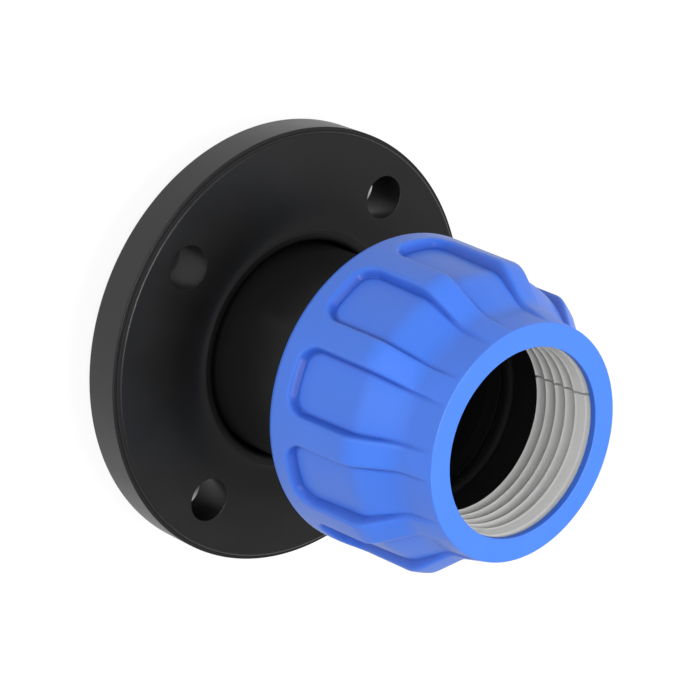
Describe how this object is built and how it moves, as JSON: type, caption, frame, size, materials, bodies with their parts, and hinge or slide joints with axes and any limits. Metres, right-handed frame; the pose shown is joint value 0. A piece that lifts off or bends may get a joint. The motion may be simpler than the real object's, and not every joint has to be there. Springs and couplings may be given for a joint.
{
  "type": "flange adaptor",
  "caption": "Pipe flange adaptor: a loose backing flange on a moulded body, and a ribbed compression nut that grips and seals a plain pipe end.",
  "frame": {"origin": "centre of the sealing face under the collar, which is the face the part stands on", "axes": "+Z along the pipe axis, from the sealing face out of the nut's mouth; the bolt holes lie at 45 degrees between X and Y"},
  "size_m": [0.185, 0.185, 0.1655],
  "materials": {
    "black_plastic": "moulded black polypropylene, satin",
    "blue_plastic": "moulded blue polypropylene, satin",
    "white_plastic": "moulded off-white acetal, satin",
    "seal_rubber": "black rubber, matt"
  },
  "bodies": {
    "body": {"body": "black_plastic", "bush": "black_plastic", "o_ring": "seal_rubber"},
    "flange": {"backing_flange": "black_plastic"},
    "grip": {"grip_ring": "white_plastic"},
    "nut": {"nut": "blue_plastic"}
  },
  "joints": [
    {"name": "flange_turn", "type": "hinge", "parent": "body", "child": "flange", "pos_m": [0, 0, 0.021], "axis": [0, 0, 1], "continuous": true},
    {"name": "nut_travel", "type": "slide", "parent": "body", "child": "grip", "axis": [0, 0, 1], "range_m": [0, 0.0401]},
    {"name": "nut_turn", "type": "hinge", "parent": "grip", "child": "nut", "pos_m": [0, 0, 0.127], "axis": [0, 0, 1], "range_deg": [0, 1600]}
  ],
  "couplings": [
    {"joint": "nut_travel", "follows": "nut_turn", "m_per_rad": 0.0014324}
  ]
}
